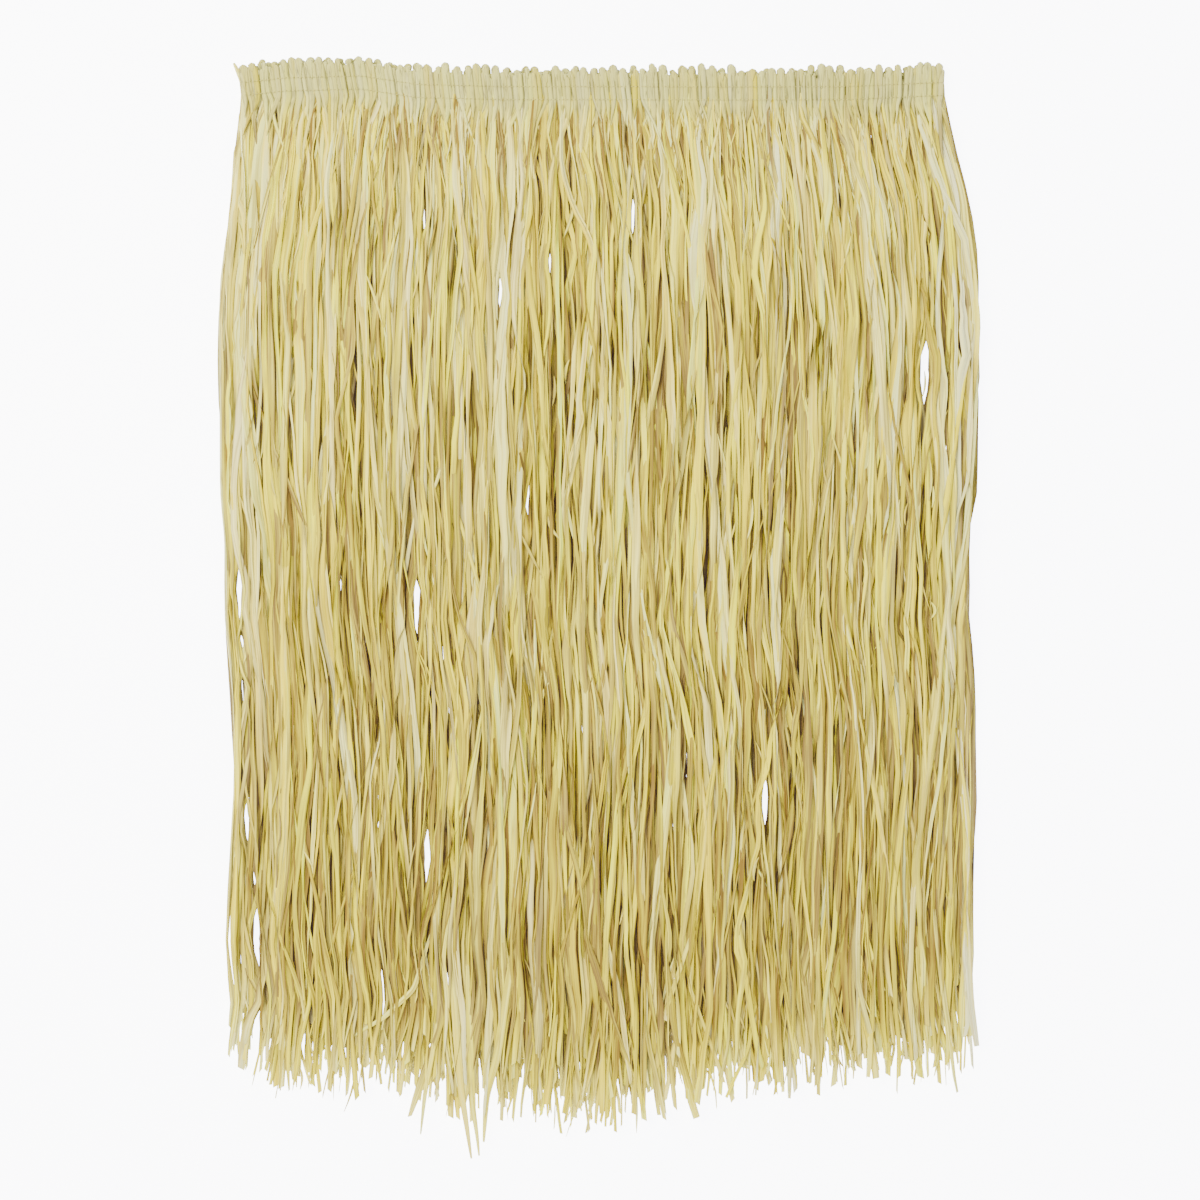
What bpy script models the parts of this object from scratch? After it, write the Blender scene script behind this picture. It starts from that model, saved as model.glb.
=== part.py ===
"""Raffia grass skirt laid flat on its back: two sewn waist headers and four curtains of raffia locks.

Metres, +Z up. The skirt rests on the plane z = 0 with its waist towards +Y and its hem towards -Y.
It is a tube pressed flat, so from the floor up it holds the outer and the inner curtain of the back,
then the inner and the outer curtain of the front, each hanging from a narrow strip below its header.
"Drop" is the distance below the waist's top line, measured towards the hem.
"""

import random
from collections import namedtuple
from math import pi, sin

import bmesh
import bpy
from numpy import interp

MM = 0.001

WAIST_ROUND = 914 * MM  # the whole way round the waist
WAIST_FLAT = WAIST_ROUND / 2  # across the waist once the tube is pressed flat
LONGEST_DROP = 711 * MM  # the longest lock, from the waist's top line

LOOPS_A_SIDE = 70  # raffia ends folded over along one side of the waist
LOOP_JITTER = 1.1 * MM  # how unevenly the loops stand up
NOTCH_DEPTH = 3.2 * MM  # between two loops
HEADER_WALL = 3.0 * MM  # one header at its thickest
SEAM_GAP = 0.3 * MM  # between pieces that touch

STRIP_EDGE_DROP = 30 * MM  # the lower edge of the strips that the locks are fused to
LAYER_RISE = 3.6 * MM  # from one curtain to the next where the pile is fullest
EDGE_THINNING = 0.3  # how much of the pile's thickness is lost at the skirt's sides
LOOSE_LIFT = 2.4 * MM  # how far a loose lock rises above its neighbours

LOCK_SHARE = 0.86  # a lock's width, against the room between its lanes
WIDEST_LOCK = 7.0 * MM
TIP_SHARE = 0.45  # a lock's width at its tip, against its width above
WANDER = 0.22  # how far a lane strays at each section, against the spacing of the lanes
CLUMP = 0.5  # how far lanes crowd together into clumps, against their spacing
CLUMP_LANES = 11  # from one clump to the next

# The skirt's sides at each drop. Locks have a section at each drop below the strips,
# and those of the inner curtains only where "every" is 1.
Station = namedtuple("Station", "drop left right every")
STATIONS = (
    Station(drop=0, left=-233, right=224, every=0),
    Station(drop=30, left=-233, right=224, every=0),
    Station(drop=46, left=-234, right=226, every=1),
    Station(drop=100, left=-238, right=237, every=0),
    Station(drop=166, left=-243, right=243, every=1),
    Station(drop=260, left=-243, right=239, every=0),
    Station(drop=361, left=-241, right=236, every=1),
    Station(drop=466, left=-235, right=240, every=0),
    Station(drop=570, left=-236, right=238, every=1),
    Station(drop=711, left=-238, right=246, every=0),
)

# How full the pile is. Its rows are where every curtain has a section, so that none cuts another.
Loft = namedtuple("Loft", "drop share")
LOFTS = (
    Loft(drop=30, share=0.47),
    Loft(drop=46, share=0.56),
    Loft(drop=166, share=1.00),
    Loft(drop=361, share=1.00),
    Loft(drop=570, share=0.88),
    Loft(drop=711, share=0.68),
)

# How far the waist's top line stands above y = 0, before the skirt is centred.
WaistPoint = namedtuple("WaistPoint", "across rise")
WAIST_LINE = (
    WaistPoint(across=-233, rise=0.5),
    WaistPoint(across=-205, rise=3.6),
    WaistPoint(across=-155, rise=5.0),
    WaistPoint(across=-118, rise=0.8),
    WaistPoint(across=0, rise=-0.4),
    WaistPoint(across=160, rise=-2.0),
    WaistPoint(across=224, rise=0.8),
)

# The drop that most locks reach at each place across the hem.
HemPoint = namedtuple("HemPoint", "across drop")
HEM_LINE = (
    HemPoint(across=-238, drop=642),
    HemPoint(across=-180, drop=648),
    HemPoint(across=-120, drop=662),
    HemPoint(across=-80, drop=676),
    HemPoint(across=-30, drop=668),
    HemPoint(across=50, drop=664),
    HemPoint(across=100, drop=652),
    HemPoint(across=175, drop=640),
    HemPoint(across=244, drop=642),
)
HEM_RAGGED = 15 * MM  # how far the ends of ordinary locks differ
LONG_LOCK_ODDS = 0.16  # the share of locks that hang out below the hem
LONG_LOCK_EXTRA = 26 * MM
LONGEST_LOCK_ACROSS = -80 * MM  # where the longest lock hangs

# A header's sections from its top edge down: its wall there, and how far each loop bulges.
HeaderRow = namedtuple("HeaderRow", "drop wall bulge")
HEADER_ROWS = (
    HeaderRow(drop=0.0, wall=1.3, bulge=0.0),
    HeaderRow(drop=6.5, wall=2.2, bulge=0.8),
    HeaderRow(drop=12.5, wall=1.7, bulge=0.2),
    HeaderRow(drop=24.5, wall=2.1, bulge=0.6),
)
STRIP_TOP_DROP = HEADER_ROWS[-1].drop * MM + SEAM_GAP

# One loop of a header, across it: its top edge is notched beside each loop and rounded over it.
LoopPoint = namedtuple("LoopPoint", "across notched rounded bulge")
LOOP_POINTS = (
    LoopPoint(across=0.0, notched=1, rounded=0.0, bulge=0),
    LoopPoint(across=0.3, notched=0, rounded=0.0, bulge=1),
    LoopPoint(across=0.72, notched=0, rounded=0.4, bulge=1),
)

# The curtains from the floor up. A sparse one has fewer sections a lock.
Curtain = namedtuple("Curtain", "name locks sparse shorter loose seed colour")
OUTER_COLOUR = (0.600, 0.505, 0.235)
INNER_COLOUR = (0.520, 0.400, 0.150)
CURTAINS = (
    Curtain("back_outer_fringe", locks=70, sparse=0, shorter=6, loose=0, seed=11, colour=OUTER_COLOUR),
    Curtain("back_inner_fringe", locks=54, sparse=1, shorter=14, loose=0, seed=23, colour=INNER_COLOUR),
    Curtain("front_inner_fringe", locks=54, sparse=1, shorter=10, loose=0, seed=37, colour=INNER_COLOUR),
    Curtain("front_outer_fringe", locks=70, sparse=0, shorter=0, loose=1, seed=53, colour=OUTER_COLOUR),
)

Header = namedtuple("Header", "name floor seed")
HEADERS = (
    Header("back_header", floor=0.0, seed=5),
    Header("front_header", floor=HEADER_WALL + SEAM_GAP, seed=7),
)
HEADER_COLOUR = (0.640, 0.580, 0.360)
RAFFIA_ROUGHNESS = 0.62


def read_table(rows, key, column, at):
    """A column's value, in millimetres or as a share, at a place in metres between two rows."""
    keys = [getattr(row, key) for row in rows]
    values = [getattr(row, column) for row in rows]
    return float(interp(at / MM, keys, values))


def sides(drop):
    """The skirt's left and right sides at this drop."""
    left = read_table(STATIONS, "drop", "left", drop) * MM
    right = read_table(STATIONS, "drop", "right", drop) * MM
    return left, right


def across(share, drop):
    """The place across the skirt: share 0 is its left side at that drop, and 1 its right side."""
    left, right = sides(drop)
    return left + (right - left) * share


def waist_y(x):
    return read_table(WAIST_LINE, "across", "rise", x) * MM


def fullness(x, drop):
    """How thick the pile is here, against its fullest place: it thins towards both sides."""
    left, right = sides(drop)
    from_middle = abs(2 * (x - left) / (right - left) - 1)
    return read_table(LOFTS, "drop", "share", drop) * (1 - EDGE_THINNING * from_middle**6)


def layer_floor(level, x, drop):
    return level * LAYER_RISE * fullness(x, drop)


def layer_top(level, x, drop):
    return layer_floor(level + 1, x, drop) - SEAM_GAP


def raffia_material(name, colour):
    material = bpy.data.materials.new(name)
    material.use_nodes = True
    shader = material.node_tree.nodes["Principled BSDF"]
    shader.inputs["Base Color"].default_value = (*colour, 1.0)
    shader.inputs["Roughness"].default_value = RAFFIA_ROUGHNESS
    shader.inputs["Metallic"].default_value = 0.0
    return material


def add_object(name, bm, colour, parent):
    """Makes the object of a finished bmesh, with its own material, and frees the bmesh."""
    bmesh.ops.recalc_face_normals(bm, faces=bm.faces)
    mesh = bpy.data.meshes.new(name)
    bm.to_mesh(mesh)
    bm.free()
    mesh.materials.append(raffia_material(name, colour))
    item = bpy.data.objects.new(name, mesh)
    bpy.context.collection.objects.link(item)
    item.parent = parent
    return item


def header_columns(seed):
    """The columns of a header: share across, height above the waist's line, and bulge."""
    chance = random.Random(seed)
    columns = []
    for loop in range(LOOPS_A_SIDE):
        stand = chance.uniform(-LOOP_JITTER, LOOP_JITTER)
        for point in LOOP_POINTS:
            height = -NOTCH_DEPTH if point.notched else stand - point.rounded * MM
            columns.append(((loop + point.across) / LOOPS_A_SIDE, height, point.bulge))
    columns.append((1.0, -NOTCH_DEPTH, 0))
    return columns


def build_header(header, parent):
    """A sewn band of folded raffia ends, with its loops standing along the top edge."""
    columns = header_columns(header.seed)
    bm = bmesh.new()
    rows = []
    for section in HEADER_ROWS:
        drop = section.drop * MM
        row = []
        for share, height, bulge in columns:
            x = across(share, drop)
            stand = height if section is HEADER_ROWS[0] else 0.0
            top = header.floor + (section.wall + section.bulge * bulge) * MM
            row.append(bm.verts.new((x, waist_y(x) - drop + stand, top)))
        rows.append(row)
    for upper, lower in zip(rows, rows[1:]):
        for left in range(len(columns) - 1):
            bm.faces.new((upper[left], lower[left], lower[left + 1], upper[left + 1]))
    made = bmesh.ops.extrude_face_region(bm, geom=bm.faces[:])["geom"]
    for vertex in (item for item in made if isinstance(item, bmesh.types.BMVert)):
        vertex.co.z = header.floor
    underside = [item for item in made if isinstance(item, bmesh.types.BMFace)]
    bmesh.ops.dissolve_faces(bm, faces=underside, use_verts=True)
    return add_object(header.name, bm, HEADER_COLOUR, parent)


class Lanes:
    """The lines between the locks of one curtain. Lock n runs between lane n and lane n + 1."""

    def __init__(self, curtain):
        self.locks = curtain.locks
        self.drops = [STRIP_EDGE_DROP]
        for station in STATIONS:
            if station.drop * MM > STRIP_EDGE_DROP and (station.every or not curtain.sparse):
                self.drops.append(station.drop * MM)
        chance = random.Random(curtain.seed)
        self.strays = [self.lane_strays(lane, chance) for lane in range(curtain.locks + 1)]

    def lane_strays(self, lane, chance):
        """How far a lane strays at each section. The first is on the strip, and the sides are fixed."""
        turn = 2 * pi * lane / CLUMP_LANES
        strays = [0.0]
        for number in range(1, len(self.drops)):
            clump = CLUMP * sin(turn + 0.5 * number) * min(number / 2, 1)
            strays.append(clump + chance.uniform(-WANDER, WANDER))
        if lane in (0, self.locks):
            return [0.0] * len(self.drops)
        return strays

    def x(self, lane, drop):
        """Lanes are straight between sections, so neighbours that keep their order never meet."""
        stray = float(interp(drop, self.drops, self.strays[lane]))
        return across((lane + stray) / self.locks, drop)


def end_drop(curtain, lock, chance):
    """How far down a lock reaches: near the hem's line, and a few of them well below it."""
    x = across((lock + 0.5) / curtain.locks, LONGEST_DROP)
    drop = (read_table(HEM_LINE, "across", "drop", x) - curtain.shorter) * MM
    drop += chance.uniform(-HEM_RAGGED, HEM_RAGGED)
    if chance.random() < LONG_LOCK_ODDS:
        drop += chance.uniform(0.3, 1.0) * LONG_LOCK_EXTRA
    return min(drop, LONGEST_DROP - HEM_RAGGED / 3)


def is_longest(curtain, lock):
    x = across((lock + 0.5) / curtain.locks, LONGEST_DROP)
    return curtain.loose and abs(x - LONGEST_LOCK_ACROSS) < WAIST_FLAT / curtain.locks / 2


def lock_rings(curtain, level, lanes, lock, chance):
    """The three-cornered sections of one lock, from below the strip to its tip: base and ridge."""
    end = LONGEST_DROP if is_longest(curtain, lock) else end_drop(curtain, lock, chance)
    drops = [drop for drop in lanes.drops[1:] if drop < end - HEM_RAGGED] + [end]
    lean = chance.uniform(0.1, 0.9)
    ridge = chance.uniform(0.3, 0.7)
    rings = []
    for number, drop in enumerate(drops):
        room_left = lanes.x(lock, drop)
        room = lanes.x(lock + 1, drop) - room_left
        width = min(room * LOCK_SHARE, WIDEST_LOCK)
        if drop == end:
            width *= TIP_SHARE
        left = room_left + (room - width) * lean
        middle = left + width * ridge
        y = waist_y(left) - drop
        lift = 0.0
        if curtain.loose and number:
            lift = chance.random() * LOOSE_LIFT
        ring = [(x, y, layer_floor(level, x, drop) + lift) for x in (left, left + width)]
        ring.append((middle, y, layer_top(level, middle, drop) + lift))
        rings.append(ring)
    return rings


def add_lock(bm, root, rings):
    """Lofts a lock from four root corners on the strip, through its sections, to its cut tip."""
    low_left, low_right, high_right, high_left = root
    left, right, ridge = above = [bm.verts.new(corner) for corner in rings[0]]
    bm.faces.new((low_left, low_right, right, left))
    bm.faces.new((low_right, high_right, ridge, right))
    bm.faces.new((high_right, high_left, ridge))
    bm.faces.new((high_left, low_left, left, ridge))
    for ring in rings[1:]:
        below = [bm.verts.new(corner) for corner in ring]
        for side in range(3):
            after = (side + 1) % 3
            bm.faces.new((above[side], above[after], below[after], below[side]))
        above = below
    bm.faces.new(above)


def strip_corners(bm, lanes, level):
    """The strip's corners at each lane: low and high on its upper edge, low and high on its lower."""
    columns = []
    for lane in range(lanes.locks + 1):
        column = []
        for drop in (STRIP_TOP_DROP, STRIP_EDGE_DROP):
            x = across(lane / lanes.locks, drop)
            for height in (layer_floor(level, x, drop), layer_top(level, x, drop)):
                column.append(bm.verts.new((x, waist_y(x) - drop, height)))
        columns.append(column)
    return columns


def build_curtain(curtain, level, parent):
    """A narrow strip below the header, with the curtain's locks fused to its lower edge."""
    lanes = Lanes(curtain)
    chance = random.Random(curtain.seed + 1)
    bm = bmesh.new()
    columns = strip_corners(bm, lanes, level)
    for lock, (one, two) in enumerate(zip(columns, columns[1:])):
        bm.faces.new((one[0], two[0], two[2], one[2]))
        bm.faces.new((one[1], two[1], two[3], one[3]))
        bm.faces.new((one[0], two[0], two[1], one[1]))
        root = (one[2], two[2], two[3], one[3])
        add_lock(bm, root, lock_rings(curtain, level, lanes, lock, chance))
    for low_upper, high_upper, low_lower, high_lower in (columns[0], columns[-1]):
        bm.faces.new((low_upper, low_lower, high_lower, high_upper))
    return add_object(curtain.name, bm, curtain.colour, parent)


def centre_over_origin(skirt, items):
    """Moves the whole skirt so that the middle of its box lies over the origin."""
    corners = [vertex.co for item in items for vertex in item.data.vertices]
    for axis in (0, 1):
        values = [corner[axis] for corner in corners]
        skirt.location[axis] = -(min(values) + max(values)) / 2


def main():
    for old in list(bpy.data.objects):
        bpy.data.objects.remove(old)
    skirt = bpy.data.objects.new("skirt", None)
    bpy.context.collection.objects.link(skirt)
    items = [build_header(header, skirt) for header in HEADERS]
    items += [build_curtain(curtain, level, skirt) for level, curtain in enumerate(CURTAINS)]
    centre_over_origin(skirt, items)


main()
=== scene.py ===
"""Raffia grass skirt laid flat: folded loops under two rows of sewing, and a deep pile of flat strands.

Metres, +Z up. The waist is towards +Y and the hem towards -Y. "Drop" is the distance below the waist's
top line. "Rank" is how high a strand lies in the pile: 0 on the floor, 1 on top.
"""

from collections import namedtuple
from math import pi, radians

import bpy
import numpy as np
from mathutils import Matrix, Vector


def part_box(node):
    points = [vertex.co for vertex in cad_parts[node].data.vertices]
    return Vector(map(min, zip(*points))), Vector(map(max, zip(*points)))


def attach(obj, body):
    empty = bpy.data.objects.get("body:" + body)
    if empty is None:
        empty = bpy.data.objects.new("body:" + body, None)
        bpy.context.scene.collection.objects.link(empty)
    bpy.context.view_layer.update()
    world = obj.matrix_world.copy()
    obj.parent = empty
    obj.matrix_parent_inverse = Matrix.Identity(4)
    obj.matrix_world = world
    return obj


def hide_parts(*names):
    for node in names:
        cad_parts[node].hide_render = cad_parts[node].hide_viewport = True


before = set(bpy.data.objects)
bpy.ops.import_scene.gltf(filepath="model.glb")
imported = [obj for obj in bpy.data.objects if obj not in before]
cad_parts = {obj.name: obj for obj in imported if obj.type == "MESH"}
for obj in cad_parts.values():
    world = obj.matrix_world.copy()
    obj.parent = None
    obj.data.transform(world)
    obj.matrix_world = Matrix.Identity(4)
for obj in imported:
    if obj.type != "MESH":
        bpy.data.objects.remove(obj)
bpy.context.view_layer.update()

bl_info = {
    "name": "Grass skirt",
    "version": (1, 0, 0),
    "blender": (4, 5, 0),
    "location": "3D View > Sidebar > Skirt",
    "description": "Dresses the flat grass skirt with raffia loops, strands and sewing",
    "category": "Object",
}

MM = 0.001
BODY = "root"

HEADER_DROP = 24.5 * MM  # from the waist's top line to the header's lower edge
LOWEST_RISE = -2.0 * MM  # the waist line's lowest place
FRONT_LOW, FRONT_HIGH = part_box("front_header")
WAIST_Y = FRONT_LOW[1] + HEADER_DROP - LOWEST_RISE
MIDDLE_X = (FRONT_LOW[0] + FRONT_HIGH[0]) / 2 + 4.5 * MM
FRONT_FLOOR = FRONT_LOW[2]
HEADER_WALL = FRONT_HIGH[2] - FRONT_FLOOR
FRINGE_DROP = 0.7  # about where the hem is, for what changes all down the fringe
TIPS_DROP = 0.66  # where strands are told apart by their place along the hem
SHORTEST_DROP = 0.60  # no strand of the pile ends above this

# The skirt's sides at each drop.
Side = namedtuple("Side", "drop left right")
SIDES = (
    Side(drop=-10, left=-233, right=224),
    Side(drop=26, left=-232, right=223),
    Side(drop=36, left=-234, right=225),
    Side(drop=60, left=-236, right=229),
    Side(drop=88, left=-237, right=235),
    Side(drop=113, left=-239, right=237),
    Side(drop=140, left=-242, right=240),
    Side(drop=166, left=-243, right=242),
    Side(drop=283, left=-242, right=239),
    Side(drop=310, left=-240, right=237),
    Side(drop=361, left=-240, right=235),
    Side(drop=413, left=-235, right=240),
    Side(drop=466, left=-234, right=240),
    Side(drop=570, left=-236, right=237),
    Side(drop=610, left=-232, right=238),
    Side(drop=640, left=-236, right=241),
    Side(drop=711, left=-239, right=244),
)

# How far the waist's top line stands above its middle, and how far the folded loops lean to the left there.
WaistPoint = namedtuple("WaistPoint", "across rise lean")
WAIST_LINE = (
    WaistPoint(across=-233, rise=0.5, lean=1.6),
    WaistPoint(across=-205, rise=3.6, lean=2.6),
    WaistPoint(across=-155, rise=5.0, lean=3.4),
    WaistPoint(across=-118, rise=-0.6, lean=2.6),
    WaistPoint(across=-60, rise=-2.0, lean=2.2),
    WaistPoint(across=0, rise=-2.0, lean=2.0),
    WaistPoint(across=80, rise=-2.2, lean=1.2),
    WaistPoint(across=160, rise=-2.0, lean=0.2),
    WaistPoint(across=224, rise=0.8, lean=0.4),
)

# The pile's thickness at each drop.
Thickness = namedtuple("Thickness", "drop pile")
THICKNESSES = (
    Thickness(drop=14, pile=4.6),
    Thickness(drop=22, pile=4.7),
    Thickness(drop=28, pile=5.6),
    Thickness(drop=36, pile=7.2),
    Thickness(drop=46, pile=8.6),
    Thickness(drop=100, pile=12.0),
    Thickness(drop=166, pile=15.0),
    Thickness(drop=361, pile=15.5),
    Thickness(drop=570, pile=13.5),
    Thickness(drop=711, pile=9.0),
)
EDGE_THINNING = 0.35

# The drop that the lowest strands reach at each place across the hem.
HemPoint = namedtuple("HemPoint", "across drop")
HEM_LINE = (
    HemPoint(across=-238, drop=650),
    HemPoint(across=-222, drop=646),
    HemPoint(across=-210, drop=678),
    HemPoint(across=-196, drop=675),
    HemPoint(across=-184, drop=662),
    HemPoint(across=-158, drop=682),
    HemPoint(across=-145, drop=664),
    HemPoint(across=-118, drop=676),
    HemPoint(across=-106, drop=662),
    HemPoint(across=-93, drop=682),
    HemPoint(across=-80, drop=688),
    HemPoint(across=-72, drop=684),
    HemPoint(across=-66, drop=664),
    HemPoint(across=-42, drop=692),
    HemPoint(across=-28, drop=687),
    HemPoint(across=24, drop=690),
    HemPoint(across=48, drop=674),
    HemPoint(across=88, drop=659),
    HemPoint(across=102, drop=677),
    HemPoint(across=128, drop=659),
    HemPoint(across=168, drop=665),
    HemPoint(across=180, drop=650),
    HemPoint(across=207, drop=670),
    HemPoint(across=232, drop=660),
    HemPoint(across=244, drop=645),
)

WILD_SHARE = 0.42  # the share of strands that lie much more crookedly than the rest
WILD_SWAY = 11 * MM  # how far those drift
POINTED_SHARE = 0.14  # the share of strands that end in a point
POINTED_WIDTH = 0.25  # how wide such a point is, beside the strand
TIP_SLOPE = 0.09  # how far the tips fan out
TIP_LENGTH = 60 * MM  # how long a tip is
FAN_SLOPE = 0.040  # how far the lower part of each strand slopes to one side
FAN_LENGTH = 260 * MM  # how long that part is
HEM_NARROWING = 0.26  # how much narrower strands have curled at the hem, half of it in the lower groups
UNDER_HEADER = 0.62  # how much deeper the lower layers are in the shade of the header
SHOWING_RANK = 0.7  # groups that start above this rank are the ones that show
TOP_RANK = 0.8  # a group that starts above this rank is mostly clear of the header's shade
DEEPEST_SHOWING = 0.82  # the deepest tone of a strand that shows
PILE_SLIVERS = 300  # short torn slivers all over the pile
HEM_SLIVERS = 14  # and along the hem

# Slits where the whole pile stands apart and the floor shows.
Slit = namedtuple("Slit", "across drop wide long")
SLITS = (
    Slit(across=22, drop=94, wide=2.4, long=13),
    Slit(across=20, drop=116, wide=1.6, long=5),
    Slit(across=-32, drop=126, wide=1.8, long=11),
    Slit(across=-64, drop=148, wide=2.8, long=13),
    Slit(across=212, drop=196, wide=7.2, long=22),
    Slit(across=238, drop=155, wide=2.0, long=7),
    Slit(across=234, drop=187, wide=2.0, long=8),
    Slit(across=-118, drop=348, wide=5.4, long=20),
    Slit(across=108, drop=474, wide=4.8, long=19),
    Slit(across=-112, drop=510, wide=4.8, long=20),
    Slit(across=-234, drop=341, wide=4.4, long=16),
    Slit(across=-232, drop=374, wide=3.2, long=8),
    Slit(across=-231, drop=405, wide=3.2, long=9),
    Slit(across=-229, drop=490, wide=3.2, long=20),
    Slit(across=-224, drop=530, wide=2.6, long=10),
    Slit(across=-223, drop=568, wide=5.4, long=24),
    Slit(across=-223, drop=632, wide=5.0, long=20),
)

# The groups of strands from the floor up: their ranks in the pile, how broad they are beside the usual
# width, how deep their colour is at the waist and how much it deepens by the hem, and how far short of the
# hem they stop.
# The lower groups' deeper tones are painted shade, for lying under the others.
Group = namedtuple("Group", "name node strands sections corners low high breadth tone deepens shorter seed")
GROUPS = (
    Group("back_outer_strands", "back_outer_fringe", 230, 46, 6, 0.02, 0.25, 1.20, 0.46, 0.50, 15, 101),
    Group("back_inner_strands", "back_inner_fringe", 200, 30, 4, 0.30, 0.55, 1.70, 0.74, 0.45, 20, 102),
    Group("front_inner_strands", "front_inner_fringe", 230, 46, 4, 0.60, 0.78, 1.45, 0.84, 0.30, 16, 103),
    Group("front_middle_strands", "front_outer_fringe", 225, 62, 6, 0.72, 0.90, 1.05, 0.58, 0.44, 5, 104),
    Group("front_top_strands", "front_outer_fringe", 195, 76, 6, 0.82, 1.00, 1.32, 0.22, 0.47, 0, 105),
    Group("front_fine_strands", "front_outer_fringe", 170, 60, 4, 0.78, 1.03, 0.60, 0.42, 0.46, 1, 106),
)

# Strands that lie across the others, each through a few places: across, drop.
Stray = namedtuple("Stray", "name wide tone points")
STRAYS = (
    Stray("hem_left", 3.4, 0.20, ((-108, 560), (-120, 600), (-140, 622), (-164, 640))),
    Stray("hem_right", 3.0, 0.25, ((66, 545), (54, 580), (44, 610), (34, 645))),
    Stray("hem_middle", 2.4, 0.35, ((-26, 600), (-30, 642), (-28, 657), (-39, 678))),
    Stray("kinked", 2.8, 0.30, ((-16, 190), (-18, 208), (-10, 228), (-19, 256), (-20, 300))),
    Stray("wide_pale", 5.2, 0.05, ((-4, 190), (2, 210), (7, 240), (8, 300))),
    Stray("side_left", 4.0, 0.22, ((-238, 70), (-237, 82), (-230, 100), (-227, 150))),
    Stray("branch", 5.6, 0.10, ((0, 205), (-6, 250), (-10, 300), (-12, 360))),
    Stray("corner_left", 5.6, 0.30, ((-238, -1), (-232, 11), (-230, 23), (-231, 60))),
    Stray("corner_right", 6.4, 0.30, ((221, -1), (222, 12), (222, 24), (224, 50))),
    Stray("needle", 3.2, 0.20, ((-104, 610), (-108, 642), (-113, 668), (-116, 695))),
    Stray("tip_first", 5.0, 0.34, ((-97, 560), (-90, 662), (-86, 688), (-83, 710))),
    Stray("tip_second", 4.4, 0.38, ((-86, 570), (-82, 675), (-79, 696), (-78, 708))),
    Stray("tip_third", 5.4, 0.32, ((-54, 560), (-66, 642), (-73, 668), (-75, 699))),
)


class HeaderSizes(bpy.types.PropertyGroup):
    """Sizes of the sewn waist header."""

    loops: bpy.props.IntProperty(
        name="Loops", description="Raffia loops along one side of the waist", default=72, min=8
    )
    loop_width: bpy.props.FloatProperty(
        name="Loop width", description="Width of a folded loop", default=5.7 * MM, unit="LENGTH"
    )
    loop_uneven: bpy.props.FloatProperty(
        name="Uneven tops", description="How far loops stand out of line", default=1.4 * MM, unit="LENGTH"
    )
    loop_thickness: bpy.props.FloatProperty(
        name="Loop thickness", description="Thickness of a folded loop", default=1.0 * MM, unit="LENGTH"
    )
    lean: bpy.props.FloatProperty(
        name="Lean", description="How far a loop's top strays sideways", default=0.6 * MM, unit="LENGTH"
    )
    cut_width: bpy.props.FloatProperty(
        name="Cut width", description="Half of the way round the waist", default=457 * MM, unit="LENGTH"
    )
    cut_length: bpy.props.FloatProperty(
        name="Cut length",
        description="Length of the header's raffia unfolded",
        default=95 * MM,
        unit="LENGTH",
    )


class StrandSizes(bpy.types.PropertyGroup):
    """Sizes of the loose raffia strands."""

    width: bpy.props.FloatProperty(
        name="Width", description="Usual width of a strand", default=3.0 * MM, unit="LENGTH"
    )
    thickness: bpy.props.FloatProperty(
        name="Thickness", description="Thickness of a crumpled strand", default=0.24 * MM, unit="LENGTH"
    )
    long_sway: bpy.props.FloatProperty(
        name="Long sway",
        description="How far a strand drifts over its length",
        default=5.2 * MM,
        unit="LENGTH",
    )
    short_sway: bpy.props.FloatProperty(
        name="Short sway",
        description="How far a strand bends in a hand's width",
        default=0.9 * MM,
        unit="LENGTH",
    )
    kink: bpy.props.FloatProperty(
        name="Kink", description="How far a strand turns aside at its kinks", default=1.0 * MM, unit="LENGTH"
    )
    crimp: bpy.props.FloatProperty(
        name="Crimp", description="Small kinks along a strand", default=0.28 * MM, unit="LENGTH"
    )
    twist: bpy.props.FloatProperty(
        name="Twist", description="How far a strand usually turns on itself", default=0.62, subtype="ANGLE"
    )


class StitchSizes(bpy.types.PropertyGroup):
    """Sizes of the two rows of machine sewing."""

    pitch: bpy.props.FloatProperty(
        name="Pitch", description="From one stitch to the next", default=2.6 * MM, unit="LENGTH"
    )
    thread: bpy.props.FloatProperty(
        name="Thread", description="Thickness of the thread", default=0.38 * MM, unit="LENGTH"
    )
    stitch_share: bpy.props.FloatProperty(
        name="Stitch share", description="A stitch's length as a share of the pitch", default=0.8
    )
    hole: bpy.props.FloatProperty(
        name="Needle hole", description="Radius of a needle hole", default=0.26 * MM, unit="LENGTH"
    )
    upper_drop: bpy.props.FloatProperty(
        name="Upper row", description="Drop of the upper row of sewing", default=12.5 * MM, unit="LENGTH"
    )
    lower_drop: bpy.props.FloatProperty(
        name="Lower row", description="Drop of the lower row of sewing", default=21.0 * MM, unit="LENGTH"
    )


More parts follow.
